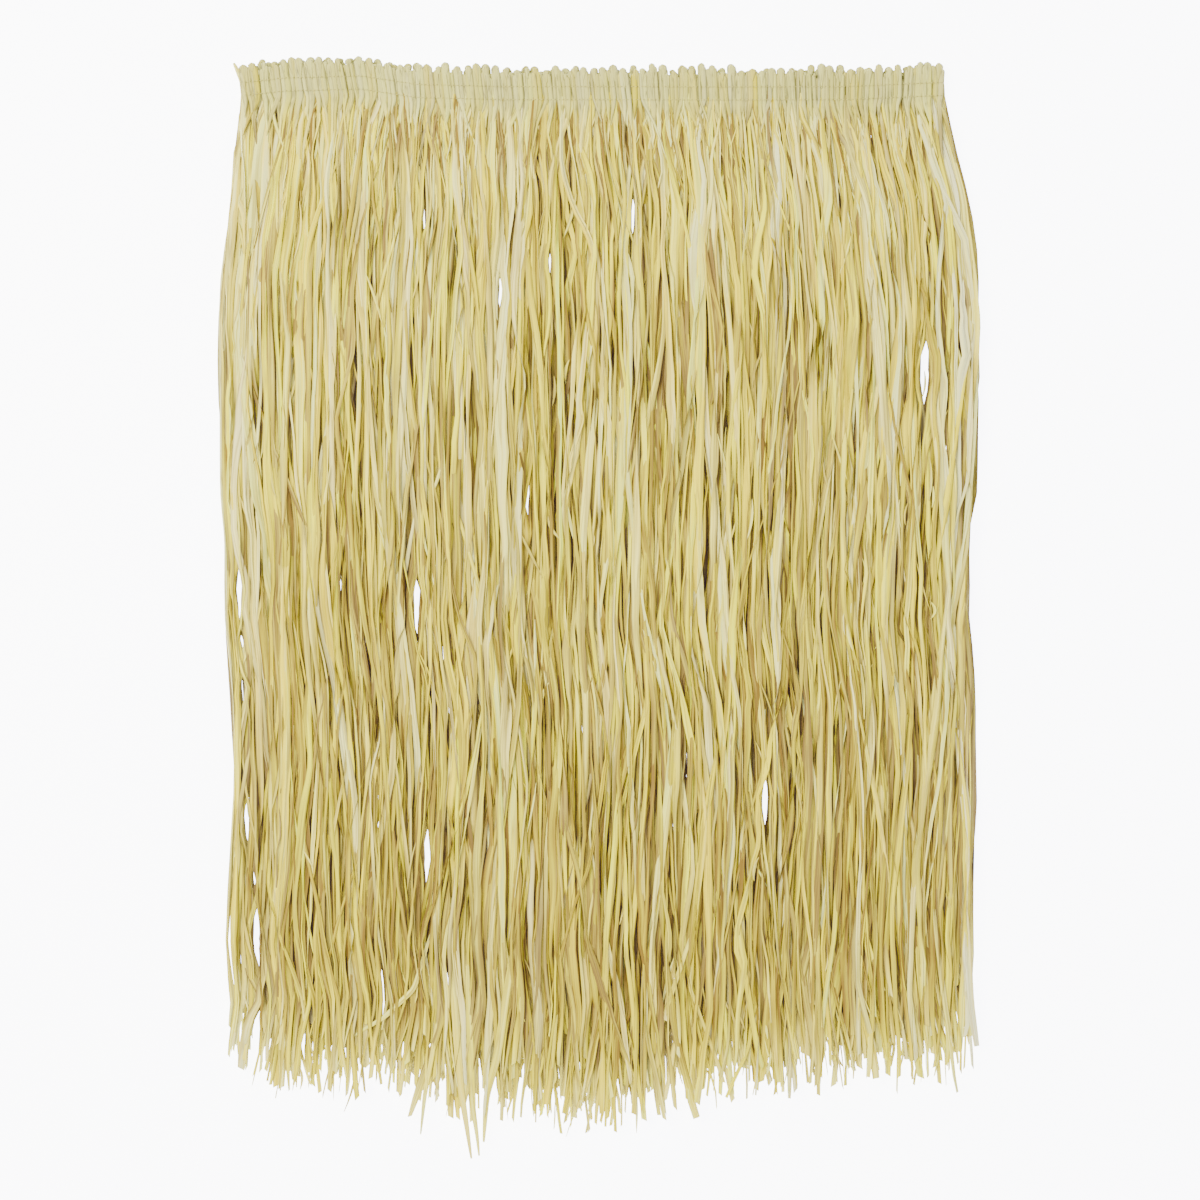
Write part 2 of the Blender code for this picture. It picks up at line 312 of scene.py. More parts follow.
class RaffiaColours(bpy.types.PropertyGroup):
    """Colours of the raffia from its palest to its deepest, of the thread, of the shade painted into folds
    and holes, and of a faint glow painted on the strands.
    """

    green_cream: bpy.props.FloatVectorProperty(
        name="Green cream", description="Palest raffia", subtype="COLOR", default=(0.57, 0.60, 0.185)
    )
    cream: bpy.props.FloatVectorProperty(
        name="Cream", description="Pale raffia", subtype="COLOR", default=(0.69, 0.640, 0.125)
    )
    yellow: bpy.props.FloatVectorProperty(
        name="Yellow", description="Bright yellow raffia", subtype="COLOR", default=(0.582, 0.514, 0.056)
    )
    straw: bpy.props.FloatVectorProperty(
        name="Straw",
        description="Usual raffia of the lower layers",
        subtype="COLOR",
        default=(0.440, 0.391, 0.046),
    )
    gold: bpy.props.FloatVectorProperty(
        name="Gold", description="Deep raffia", subtype="COLOR", default=(0.294, 0.240, 0.036)
    )
    # Brown is the deepest raffia tone, and with the painted shade it darkens the needle holes.
    brown: bpy.props.FloatVectorProperty(
        name="Brown", description="Deepest raffia, and shade painted into needle holes", subtype="COLOR", default=(0.164, 0.113, 0.030)
    )
    waist: bpy.props.FloatVectorProperty(
        name="Waist", description="Raffia folded in the header", subtype="COLOR", default=(0.41, 0.40, 0.13)
    )
    waist_pale: bpy.props.FloatVectorProperty(
        name="Pale waist",
        description="Palest raffia in the header",
        subtype="COLOR",
        default=(0.47, 0.475, 0.17),
    )
    # Painted shade: the dark colour painted into the header's folds, the gaps between its loops and the
    # needle holes.
    painted_shade: bpy.props.FloatVectorProperty(
        name="Painted shade",
        description="Shade painted into the header's folds and gaps, and into needle holes",
        subtype="COLOR",
        default=(0.065, 0.058, 0.030),
    )
    thread: bpy.props.FloatVectorProperty(
        name="Thread", description="Sewing thread", subtype="COLOR", default=(0.50, 0.47, 0.18)
    )
    # A faint glow painted on the strands, not a lamp, which lightens the shade in the gaps.
    painted_gap_glow: bpy.props.FloatVectorProperty(
        name="Painted gap glow",
        description="Colour of a faint glow painted on the strands to lighten the gaps",
        subtype="COLOR",
        default=(0.80, 0.20, 1.0),
    )
    painted_gap_glow_strength: bpy.props.FloatProperty(
        name="Painted glow strength", description="Brightness of that painted glow", default=0.014
    )


class StageSettings(bpy.types.PropertyGroup):
    """The floor, the lights and the camera."""

    floor: bpy.props.FloatVectorProperty(
        name="Floor", description="Colour of the floor", subtype="COLOR", default=(0.93, 0.93, 0.93)
    )
    floor_glow: bpy.props.FloatVectorProperty(
        name="Floor glow", description="Light of the lit table", subtype="COLOR", default=(0.95, 0.98, 1.15)
    )
    glow_strength: bpy.props.FloatProperty(
        name="Glow strength", description="Brightness of the lit table", default=7.5
    )
    ambient: bpy.props.FloatProperty(
        name="Ambient", description="Strength of the light from all round", default=1.2
    )
    key: bpy.props.FloatProperty(
        name="Key light", description="Power of the large light", default=168.0, subtype="POWER"
    )
    fill: bpy.props.FloatProperty(
        name="Fill light", description="Power of the light across from it", default=34.0, subtype="POWER"
    )
    warm_light: bpy.props.FloatVectorProperty(
        name="Warm light", description="Colour of both lights", subtype="COLOR", default=(1.0, 0.93, 0.58)
    )
    camera_height: bpy.props.FloatProperty(
        name="Camera height", description="Height of the camera over the floor", default=1.956, unit="LENGTH"
    )
    camera_lens: bpy.props.FloatProperty(
        name="Lens", description="Focal length", default=90.0, unit="CAMERA"
    )


# --- The shape of the whole skirt -------------------------------------------------------------------


def read_table(rows, key, column, at):
    """A column's value in millimetres, at places in metres between its rows."""
    keys = [getattr(row, key) for row in rows]
    values = [getattr(row, column) for row in rows]
    return np.interp(np.asarray(at) / MM, keys, values)


def side_places(drop):
    left = read_table(SIDES, "drop", "left", drop) * MM
    right = read_table(SIDES, "drop", "right", drop) * MM
    return left, right


def across(share, drop):
    """The place across the skirt: share 0 is its left side at that drop, and 1 its right side."""
    left, right = side_places(drop)
    return left + (right - left) * share


def waist_rise(x):
    return read_table(WAIST_LINE, "across", "rise", x) * MM


def from_middle(x, drop):
    """0 on the skirt's middle line, and 1 at either side."""
    left, right = side_places(drop)
    return np.abs(2 * (x - left) / (right - left) - 1)


def pile_thickness(x, drop):
    thinning = EDGE_THINNING * np.clip(from_middle(x, drop), 0, 1) ** 6
    return read_table(THICKNESSES, "drop", "pile", drop) * MM * (1 - thinning)


def grow(values, start, over):
    """0 up to the start, and from there up to 1 over this distance."""
    return np.clip((values - start) / over, 0, 1)


def bump(values, middle, spread):
    """1 at the middle, falling away to 0 on both sides of it."""
    return np.exp(-(((values - middle) / spread) ** 2))


def skirt_point(x, drop, z):
    """A point of the skirt in the shared frame, from its place across, its drop and its height."""
    return np.stack([x + MIDDLE_X, WAIST_Y + waist_rise(x) - drop, z], axis=-1)


# --- Ribbons ----------------------------------------------------------------------------------------

# The corners of a flat ribbon's section, round from its left edge over its upper face: how far across
# it each is, which face it is on, and which way a lengthwise crease moves it.
Corner = namedtuple("Corner", "across face crease")
CORNERS = {
    8: (
        Corner(-1.0, 0, 0.0),
        Corner(-0.5, 1, 0.8),
        Corner(0.05, 1, -1.0),
        Corner(0.55, 1, 0.9),
        Corner(1.0, 0, 0.0),
        Corner(0.5, -1, 0.9),
        Corner(0.0, -1, -1.0),
        Corner(-0.55, -1, 0.8),
    ),
    4: (
        Corner(-1.0, 0, 0.0),
        Corner(0.15, 1, -1.0),
        Corner(1.0, 0, 0.0),
        Corner(0.15, -1, -1.0),
    ),
    6: (
        Corner(-1.0, 0, 0.0),
        Corner(-0.35, 1, 0.8),
        Corner(0.4, 1, -0.7),
        Corner(1.0, 0, 0.0),
        Corner(0.35, -1, -0.7),
        Corner(-0.4, -1, 0.8),
    ),
}


class Ribbons:
    """Many flat ribbons: every array has a row for each ribbon and a column for each section."""

    def __init__(self, x, drop, z, width, thickness, corners):
        self.x = x
        self.drop = drop
        self.z = z
        self.width = width
        self.thickness = thickness
        self.corners = CORNERS[corners]
        self.twist = np.zeros_like(x)
        self.cup = np.zeros_like(x)
        self.crease = np.zeros_like(x)
        self.slant = np.zeros(len(x))
        self.tone = np.zeros_like(x)
        self.saturation = np.full_like(x, 0.94)
        self.seed = np.arange(len(x)) * 0.37

    def points(self):
        """The corners of every section: ribbons, sections, corners, XYZ."""
        centres = skirt_point(self.x, self.drop, self.z)
        along = np.gradient(centres, axis=1)
        along /= np.linalg.norm(along, axis=-1, keepdims=True)
        flat = np.stack([-along[..., 1], along[..., 0], np.zeros_like(self.x)], axis=-1)
        flat /= np.linalg.norm(flat, axis=-1, keepdims=True)
        up = np.cross(along, flat)
        cos, sin = np.cos(self.twist)[..., None], np.sin(self.twist)[..., None]
        sideways, outward = flat * cos + up * sin, up * cos - flat * sin
        rings = []
        for corner in self.corners:
            aside = corner.across * self.width / 2
            lift = self.cup * (1 - corner.across**2) + self.crease * corner.crease
            lift = lift + corner.face * self.thickness / 2
            point = centres + sideways * aside[..., None] + outward * lift[..., None]
            point[:, -1] += along[:, -1] * (corner.across * self.slant)[:, None]
            rings.append(point)
        points = np.stack(rings, axis=2)
        points[..., 2] = np.maximum(points[..., 2], 0.0)
        return points

    def fibre(self):
        """Millimetres across and along each ribbon, and its own number, for the fibre pattern."""
        shape = (*self.x.shape, len(self.corners))
        aside = self.width[..., None] / 2 * np.array([corner.across for corner in self.corners])
        along = np.broadcast_to(self.drop[..., None], shape)
        own = np.broadcast_to(self.seed[:, None, None], shape)
        return np.stack([aside / MM, along / MM, own], axis=-1)


def place_object(name, data):
    item = bpy.data.objects.new(name, data)
    bpy.context.collection.objects.link(item)
    return item


def closed_tube_faces(count, sections, corners):
    """Vertex numbers of the quads round each ribbon, and of the cap at each end, all facing outward."""
    ribbon = np.arange(count)[:, None, None] * sections * corners
    section = np.arange(sections - 1)[None, :, None] * corners
    corner = np.arange(corners)[None, None, :]
    after = (corner + 1) % corners
    low = ribbon + section
    quads = np.stack([low + corners + corner, low + corners + after, low + after, low + corner], axis=-1)
    ends = np.arange(count)[:, None] * sections * corners + np.arange(corners)[None, :]
    caps = np.concatenate([ends[:, ::-1], ends + (sections - 1) * corners])
    return quads.reshape(-1, 4), caps


def sharp_lengthwise(mesh, sections, corners):
    """Keeps every lengthwise crease and cut end crisp, and the ribbons smooth along their length."""
    ends = np.empty(len(mesh.edges) * 2, np.int32)
    mesh.edges.foreach_get("vertices", ends)
    ends = ends.reshape(-1, 2)
    lengthwise = np.abs(ends[:, 0] - ends[:, 1]) == corners
    section = ends // corners % sections
    cut = (section[:, 0] == section[:, 1]) & np.isin(section[:, 0], (0, sections - 1))
    mesh.attributes.new("sharp_edge", "BOOLEAN", "EDGE").data.foreach_set("value", lengthwise | cut)


def add_attributes(mesh, ribbons, shape):
    """Gives the ribbons' points what the raffia material reads."""
    fibre = mesh.attributes.new("fibre", "FLOAT_VECTOR", "POINT")
    fibre.data.foreach_set("vector", ribbons.fibre().reshape(-1).astype(np.float32))
    numbers = {
        "tone": ribbons.tone[..., None],
        "rim": np.array([corner.across**2 for corner in ribbons.corners]),
        "saturation": ribbons.saturation[..., None],
    }
    for label, values in numbers.items():
        attribute = mesh.attributes.new(label, "FLOAT", "POINT")
        attribute.data.foreach_set("value", np.broadcast_to(values, shape).reshape(-1).astype(np.float32))


def ribbon_object(name, ribbons, material):
    """One mesh of many closed ribbons, with the attributes that the raffia material reads."""
    points = ribbons.points()
    count, sections, corners = points.shape[:3]
    quads, caps = closed_tube_faces(count, sections, corners)
    mesh = bpy.data.meshes.new(name)
    mesh.vertices.add(count * sections * corners)
    mesh.vertices.foreach_set("co", points.reshape(-1).astype(np.float32))
    indices = np.concatenate([quads.reshape(-1), caps.reshape(-1)]).astype(np.int32)
    starts = np.arange(len(quads)) * 4
    starts = np.concatenate([starts, len(quads) * 4 + np.arange(len(caps)) * corners])
    mesh.loops.add(len(indices))
    mesh.loops.foreach_set("vertex_index", indices)
    mesh.polygons.add(len(starts))
    mesh.polygons.foreach_set("loop_start", starts.astype(np.int32))
    mesh.update(calc_edges=True)
    mesh.shade_smooth()
    sharp_lengthwise(mesh, sections, corners)
    add_attributes(mesh, ribbons, points.shape[:3])
    mesh.materials.append(material)
    return place_object(name, mesh)


# --- Strands ----------------------------------------------------------------------------------------


def bends(chance, drops, spacing):
    """Random offsets along each strand, straight between knots this far apart."""
    count = len(drops)
    place = drops / spacing + chance.random((count, 1)) + 1
    values = np.clip(chance.standard_normal((count, int(place.max()) + 2)), -2, 2)
    before = np.floor(place).astype(int)
    share = place - before
    rows = np.arange(count)[:, None]
    return values[rows, before] * (1 - share) + values[rows, before + 1] * share


def shared_drift(x, drops):
    """The drift that neighbouring strands share, which gathers them into soft clumps."""
    drift = 0.5 * MM * np.sin(2 * pi * (x / 0.061 + drops / 0.52) + 0.4)
    drift += 0.3 * MM * np.sin(2 * pi * (x / 0.034 - drops / 0.31) + 2.1)
    drift += 0.2 * MM * np.sin(2 * pi * (x / 0.150 + drops / 0.27) + 4.0)
    return drift


def at_sides(x, drops):
    """1 at the skirt's two sides, and 0 a tenth of the way in from them."""
    return grow(from_middle(x, drops), 0.90, 0.10)


def keep_within_sides(x, drops):
    """Pulls in most of what would stand out past the skirt's sides."""
    left, right = side_places(drops)
    over = np.maximum(x - right, 0) - np.maximum(left - x, 0)
    return x - 0.8 * over


def open_slits(x, drops, width, ragged):
    """Moves strands aside round each slit, all along one side of it, some of them further than others."""
    too_far = 30 * MM
    for slit in SLITS:
        middle = slit.across * MM
        place = slit.drop * MM + (ragged - 1.2) * 8 * MM
        reach = slit.long * MM * np.where(drops < place, 0.7, 1.4)
        swell = bump(drops, place, reach)
        nearest = np.abs(drops - place).argmin(axis=1)[:, None]
        side = np.sign(np.take_along_axis(x, nearest, axis=1) - middle)
        side[side == 0] = 1
        clear = slit.wide * MM / 2 * ragged + width / 2
        push = np.maximum(clear - side * (x - middle), 0)
        push = np.where(push > too_far, 0, push)
        x = x + side * push * swell
    return x


def strand_ends(chance, group, share):
    """The drop at which each strand of a layer is cut off."""
    place = across(share, TIPS_DROP)[:, 0]
    tufts = 5 * MM * np.sin(2 * pi * place / 0.029) + 4 * MM * np.sin(2 * pi * place / 0.0173 + 1.0)
    hem = read_table(HEM_LINE, "across", "drop", place) * MM + tufts
    ends = hem - group.shorter * MM - chance.exponential(15 * MM, group.strands)
    return np.maximum(ends, SHORTEST_DROP)


def freed_share(drops):
    """How free of the header strands are: 0 in the sewing, and 1 a hand's width below it."""
    return grow(drops, 26 * MM, 90 * MM)


def strand_course(chance, sizes, share, drops, loose):
    """Where each strand runs: it drifts with its neighbours, strays on its own and kinks."""
    count = len(drops)
    freed = freed_share(drops)
    sewn_free = grow(drops, 21 * MM, 22 * MM)
    frizz = sewn_free * bump(drops, 40 * MM, 34 * MM)
    swing = sewn_free * loose
    wild = chance.random((count, 1)) < WILD_SHARE
    x = across(share, drops)
    x = x + freed * shared_drift(x, drops)
    x = x + freed * loose * sizes.long_sway * bends(chance, drops, 210 * MM)
    x = x + freed * np.where(wild, WILD_SWAY, 0) * bends(chance, drops, 180 * MM)
    x = x + swing * sizes.short_sway * bends(chance, drops, chance.uniform(60 * MM, 130 * MM, (count, 1)))
    x = x + swing * sizes.kink * bends(chance, drops, chance.uniform(28 * MM, 60 * MM, (count, 1)))
    x = x + (swing * 0.5 + 0.5 * sewn_free) * sizes.crimp * bends(chance, drops, 14 * MM)
    return x + frizz * 1.5 * MM * bends(chance, drops, 20 * MM)


def spread_tips(chance, x, drops, from_end):
    """Fans the lower ends of the strands out, within the skirt's sides."""
    for slope, length in ((TIP_SLOPE, TIP_LENGTH), (FAN_SLOPE, FAN_LENGTH)):
        x = x + chance.normal(0, slope, (len(x), 1)) * np.maximum(length - from_end, 0)
    return keep_within_sides(x, drops)


def strand_breadth(chance, group, usual, drops):
    """How wide each strand is before it narrows at its ends."""
    narrowest = 0.45
    widest = 1.7 if group.low > SHOWING_RANK else 1.25
    width = usual * group.breadth * np.clip(chance.lognormal(0, 0.38, (len(drops), 1)), narrowest, widest)
    return width * np.clip(1 + 0.30 * bends(chance, drops, 34 * MM), narrowest, 1.5)


def narrow_ends(chance, group, width, drops, from_end):
    """Narrows the strands at the sewing, towards the hem and at their tips, a few of them to a point."""
    count = len(drops)
    tail = from_end / chance.uniform(12 * MM, 60 * MM, (count, 1))
    pointed = chance.random((count, 1)) < POINTED_SHARE
    narrow = np.where(pointed, POINTED_WIDTH, chance.uniform(0.50, 0.95, (count, 1)))
    width = width * (narrow + (1 - narrow) * np.clip(tail, 0, 1) ** 0.7)
    narrowing = HEM_NARROWING if group.low > SHOWING_RANK else HEM_NARROWING / 2
    return width * (0.60 + 0.40 * freed_share(drops)) * (1.04 - narrowing * drops / FRINGE_DROP)


def turn_and_crease(chance, ribbons, twist, from_end):
    """Turns each strand on itself here and there, curls its edges and creases it lengthwise."""
    drops = ribbons.drop
    turn = bends(chance, drops, 55 * MM)
    steady = 0.25 + 0.75 * grow(from_end, 0, 70 * MM)
    ribbons.twist = twist * turn * np.abs(turn) * (0.2 + 0.8 * freed_share(drops)) * steady
    ribbons.cup = 0.08 * ribbons.width * bends(chance, drops, 60 * MM)
    ribbons.crease = 0.13 * ribbons.width * bends(chance, drops, 90 * MM)
    ribbons.slant = chance.uniform(-1, 1, len(drops)) * 1.8 * MM


def colour_strands(chance, group, ribbons, from_end):
    """How deep and golden each strand is: deeper towards the hem and under the header, pale at its tip."""
    drops = ribbons.drop
    count = len(drops)
    shows = group.low > SHOWING_RANK
    near_side = at_sides(ribbons.x, drops)
    near_tip = bump(from_end, 0, 24 * MM)
    tone = group.tone + chance.normal(0, 0.20, (count, 1)) + group.deepens * (drops / FRINGE_DROP) ** 1.5
    tone = tone + 0.06 * bends(chance, drops, 60 * MM)
    shade = UNDER_HEADER * (1.0 if group.low < TOP_RANK else 0.25)
    tone = tone + shade * bump(drops, 38 * MM, 22 * MM)
    tone = np.minimum(tone, DEEPEST_SHOWING if shows else 1.0)
    # Painted light: the tips are made paler, as the white floor's light coming through them.
    ribbons.tone = tone - (tone - 0.04) * 0.65 * near_tip - 0.22 * near_side
    # The lower groups are given duller colour, as painted shade.
    saturation = chance.normal(0.50 + 0.54 * group.high, 0.10 + 0.12 * group.high, (count, 1))
    least = 0.58 + 0.50 * group.tone if shows else 0.05 + 1.24 * group.high
    saturation = np.clip(saturation, least, 1.28)
    if shows:
        saturation = saturation + 0.8 * np.maximum(tone - 0.42, 0) * (1.25 - saturation)
    # Painted light at the tips: they are made duller as well.
    ribbons.saturation = saturation - 0.14 * near_side - 0.12 * near_tip


def strand_ribbons(group, sizes):
    """The strands of one layer of the pile, from inside the header to their cut tips."""
    chance = np.random.default_rng(group.seed)
    count = group.strands
    share = ((np.arange(count) + chance.uniform(0.1, 0.9, count)) / count)[:, None]
    ends = strand_ends(chance, group, share)
    roots = chance.uniform(15 * MM, 19 * MM, count)
    drops = roots[:, None] + (ends - roots)[:, None] * np.linspace(0, 1, group.sections)[None, :]
    from_end = ends[:, None] - drops
    loose = np.clip(chance.gamma(2.6, 0.38, (count, 1)), 0.3, 2.4)
    width = strand_breadth(chance, group, sizes.width, drops)
    x = strand_course(chance, sizes, share, drops, loose)
    x = spread_tips(chance, x, drops, from_end)
    ragged = chance.uniform(0.8, 1.6, (count, 1)) * (1 + 0.3 * bends(chance, drops, 9 * MM))
    x = open_slits(x, drops, width, ragged)
    rank = chance.permutation(np.linspace(group.low, group.high, count))[:, None]
    rank = rank + freed_share(drops) * 0.15 * bends(chance, drops, 70 * MM)
    z = np.clip(rank, 0.01, 1.05) * pile_thickness(x, drops)
    width = narrow_ends(chance, group, width, drops, from_end)
    ribbons = Ribbons(x, drops, z, width, sizes.thickness, group.corners)
    turn_and_crease(chance, ribbons, sizes.twist, from_end)
    colour_strands(chance, group, ribbons, from_end)
    ribbons.seed = chance.uniform(0, 90, count)
    return ribbons


def smooth_path(points, sections):
    """A path through a stray strand's places, rounded at its bends."""
    points = np.array(points) * MM
    length = np.concatenate([[0], np.cumsum(np.linalg.norm(np.diff(points, axis=0), axis=1))])
    at = np.linspace(0, length[-1], sections)
    path = np.stack([np.interp(at, length, points[:, axis]) for axis in (0, 1)], axis=-1)
    for _ in range(3):
        path[1:-1] = (path[:-2] + 2 * path[1:-1] + path[2:]) / 4
    return path


def stray_ribbons(sizes):
    """The strands that lie across the others, which narrow and sink into the pile at both ends."""
    chance = np.random.default_rng(211)
    sections = 48
    paths = np.stack([smooth_path(stray.points, sections) for stray in STRAYS])
    x, drops = paths[..., 0], paths[..., 1]
    reach = np.sin(np.linspace(0, pi, sections))[None, :] ** 0.5
    z = pile_thickness(x, drops) * (0.62 + 0.43 * reach)
    width = np.array([stray.wide for stray in STRAYS])[:, None] * MM * (0.25 + 0.75 * reach**1.6)
    ribbons = Ribbons(x, drops, z, width, sizes.thickness, 8)
    ribbons.cup = 0.06 * width * bends(chance, drops, 60 * MM)
    ribbons.crease = 0.03 * width * bends(chance, drops, 90 * MM)
    ribbons.tone = np.array([stray.tone for stray in STRAYS])[:, None] + 0 * x
    return ribbons


def sliver_ribbons(chance, middles, sizes):
    """Short torn slivers that stand out of the pile, each at its own slope, about these places."""
    count = len(middles)
    steps = np.linspace(-0.5, 0.5, 7)[None, :]
    length = chance.uniform(10 * MM, 38 * MM, (count, 1))
    slope = chance.normal(0, 0.20, (count, 1))
    drops = middles[:, 1:] + steps * length
    bow = chance.normal(0, 1.2 * MM, (count, 1)) * (1 - 4 * steps**2)
    x = middles[:, :1] + steps * length * slope + bow
    x = keep_within_sides(x, drops)
    z = pile_thickness(x, drops) * chance.uniform(0.86, 1.04, (count, 1))
    width = chance.uniform(0.8 * MM, 2.2 * MM, (count, 1)) * (0.2 + 0.8 * np.cos(pi * steps))
    ribbons = Ribbons(x, drops, z, width, sizes.thickness, 4)
    ribbons.crease = 0.15 * width * chance.normal(0, 1, (count, 1))
    ribbons.tone = chance.uniform(0.0, 0.75, (count, 1)) + 0 * x
    ribbons.seed = chance.uniform(0, 90, count)
    return ribbons


def sliver_places(chance):
    """Places for slivers all over the pile, more of them near the waist, and along the hem."""
    share = chance.random(PILE_SLIVERS)
    drops = 0.036 + 0.61 * chance.random(PILE_SLIVERS) ** 1.6
    over_pile = np.stack([across(share, drops), drops], axis=-1)
    x = across(chance.random(HEM_SLIVERS), TIPS_DROP)
    drops = read_table(HEM_LINE, "across", "drop", x) * MM + chance.normal(-18 * MM, 5 * MM, HEM_SLIVERS)
    return np.concatenate([over_pile, np.stack([x, drops], axis=-1)])


# --- Header -----------------------------------------------------------------------------------------

# A loop of the header from its lower end up to its fold: how thick the header is there.
LoopRow = namedtuple("LoopRow", "drop wall")
LOOP_ROWS = (
    LoopRow(drop=-4.0, wall=1.3),
    LoopRow(drop=0.0, wall=1.9),
    LoopRow(drop=6.0, wall=2.7),
    LoopRow(drop=12.5, wall=2.1),
    LoopRow(drop=16.8, wall=2.5),
    LoopRow(drop=21.0, wall=2.1),
    LoopRow(drop=25.0, wall=2.5),
    LoopRow(drop=32.0, wall=3.5),
    LoopRow(drop=45.0, wall=4.7),
    LoopRow(drop=70.0, wall=5.2),
)


BACK_ROW_SHORTER = 3.4 * MM  # how much less the second row of loops stands up
BACK_ROW_LOWER = 0.75 * MM  # how far it lies under the first


class Loops:
    """A row of one header's folded loops: where each stands, how high and how far it leans."""

    def __init__(self, chance, sizes, rows_back):
        count = sizes.loops
        self.chance = chance
        self.sizes = sizes
        self.rows_back = rows_back
        place = (np.arange(count) + 0.5 + 0.5 * rows_back + chance.uniform(-0.14, 0.14, count)) / count
        self.place = np.clip(place, 0.3 / count, 1 - 0.3 / count)
        self.stand = chance.normal(0, 1, count) * sizes.loop_uneven - rows_back * BACK_ROW_SHORTER
        self.lean = chance.normal(0, 1, count) * sizes.lean
        self.height = chance.uniform(-0.15, 0.15, count) * MM
        self.tone = 0.45 + chance.normal(0, 0.20, count)

    def ribbons(self, own, drops, width, aside, lowered):
        """Ribbons that belong to these loops by their numbers, moved aside and down towards the cloth."""
        x = across(self.place[own][:, None], drops) + aside
        lean = self.lean[own][:, None] - read_table(WAIST_LINE, "across", "lean", x) * MM
        x = x + lean * np.clip(1 - drops / HEADER_DROP, 0, 2)
        x = keep_within_sides(x, drops)
        wall = read_table(LOOP_ROWS, "drop", "wall", drops) * MM
        thickness = self.sizes.loop_thickness
        height = wall - thickness / 2 - self.rows_back * BACK_ROW_LOWER - lowered
        ribbons = Ribbons(x, drops, height + self.height[own][:, None], width, thickness, 6)
        ribbons.cup = 0.05 * width
        ribbons.tone = self.tone[own][:, None] + 0 * x
        ribbons.seed = self.chance.uniform(0, 90, len(own))
        return ribbons

    def legs(self):
        """Each loop's two legs, side by side, which run on below the sewing and come loose."""
        chance = self.chance
        own = np.repeat(np.arange(self.sizes.loops), 2)
        count = len(own)
        side = np.tile([-1.0, 1.0], self.sizes.loops)[:, None]
        reach = (4, 16) if self.rows_back else (10, 50)
        foot = (HEADER_DROP + chance.uniform(*reach, count) * MM)[:, None]
        top = (self.stand[own] - chance.uniform(1.0, 4.2, count) * MM)[:, None]
        drops = foot - (foot + top) * np.sin(np.linspace(0, pi / 2, 24))[None, :]
        width = self.sizes.loop_width * chance.uniform(0.56, 0.80, (count, 1)) * np.ones_like(drops)
        width = width * np.clip((drops + top) / (2.4 * MM) + 0.45, 0, 1)
        below = grow(foot - drops, 0, 14 * MM)
        loose = grow(drops, HEADER_DROP, 12 * MM)
        width = width * (0.15 + 0.85 * below**0.7) * (1 - 0.38 * loose)
        aside = side * self.sizes.loop_width * chance.uniform(0.17, 0.31, (count, 1))
        aside = aside + chance.normal(0, 0.15, (count, 1)) * np.maximum(drops - 20 * MM, 0)
        aside = aside + np.clip(drops / (12 * MM) - 2, 0, 1) * MM * bends(chance, drops, 22 * MM)
        ribbons = self.ribbons(own, drops, width, aside, chance.uniform(0, 0.5, (count, 1)) * MM)
        ribbons.twist = chance.normal(0, 0.28, (count, 1)) + 0 * drops
        ribbons.crease = 0.05 * width * bends(chance, drops, 30 * MM)
        ribbons.saturation = np.clip(chance.normal(0.94, 0.08, (count, 1)), 0.75, 1.1) + 0 * drops
        return ribbons

    def folds(self):
        """Each loop's rounded fold at the top, which narrows down between its legs."""
        chance = self.chance
        own = np.arange(self.sizes.loops)
        stand = self.stand[:, None]
        foot = chance.uniform(6, 15, (len(own), 1)) * MM
        drops = foot - (foot + stand) * np.sin(np.linspace(0, pi / 2, 10))[None, :]
        width = self.sizes.loop_width * chance.uniform(0.74, 1.06, (len(own), 1)) * np.ones_like(drops)
        from_top = np.clip((drops + stand) / (width / 2), 0, 1)
        width = width * np.sqrt(np.clip(1 - (1 - from_top) ** 2.4, 0.06, 1))
        width = width * (0.15 + 0.85 * np.clip((foot - drops) / foot * 1.3, 0, 1))
        ribbons = self.ribbons(own, drops, width, 0 * drops, 0.0)
        ribbons.twist = chance.normal(0, 0.12, (len(own), 1)) + 0 * drops
        return ribbons


def turn_to_back(ribbons):
    """Lays a header's ribbons on the back header's underside instead of the front header's face."""
    ribbons.z = np.maximum(HEADER_WALL - ribbons.z, 0.4 * MM)
    ribbons.cup = -ribbons.cup
    return ribbons


def raise_to_front(ribbons):
    """Lays a header's ribbons on the front header's face."""
    ribbons.z = ribbons.z + FRONT_FLOOR
    return ribbons


def join_objects(name, items):
    """Joins finished pieces into one, which keeps the first piece's material and attributes."""
    with bpy.context.temp_override(active_object=items[0], selected_editable_objects=items):
        bpy.ops.object.join()
    items[0].name = name
    items[0].data.name = name
    return items[0]


# --- Materials --------------------------------------------------------------------------------------


class Shade:
    """A number socket of a material. Arithmetic on it adds the Math node that works it out."""

    def __init__(self, tree, socket):
        self.tree = tree
        self.socket = socket

    def math(self, operation, first, second, clamp=False):
        settings = {"operation": operation, "use_clamp": clamp}
        node = add_node(self.tree, "ShaderNodeMath", settings, {0: first, 1: second})
        return Shade(self.tree, node.outputs[0])

    def __add__(self, other):
        return self.math("ADD", self, other)

    def __radd__(self, other):
        return self.math("ADD", other, self)

    def __sub__(self, other):
        return self.math("SUBTRACT", self, other)

    def __rsub__(self, other):
        return self.math("SUBTRACT", other, self)

    def __mul__(self, other):
        return self.math("MULTIPLY", self, other)

    def __rmul__(self, other):
        return self.math("MULTIPLY", other, self)

    def clamped(self):
        return self.math("ADD", self, 0.0, clamp=True)

    def above(self, start, slope):
        """0 up to the start, and from there up to 1 at this slope."""
        return ((self - start) * slope).clamped()


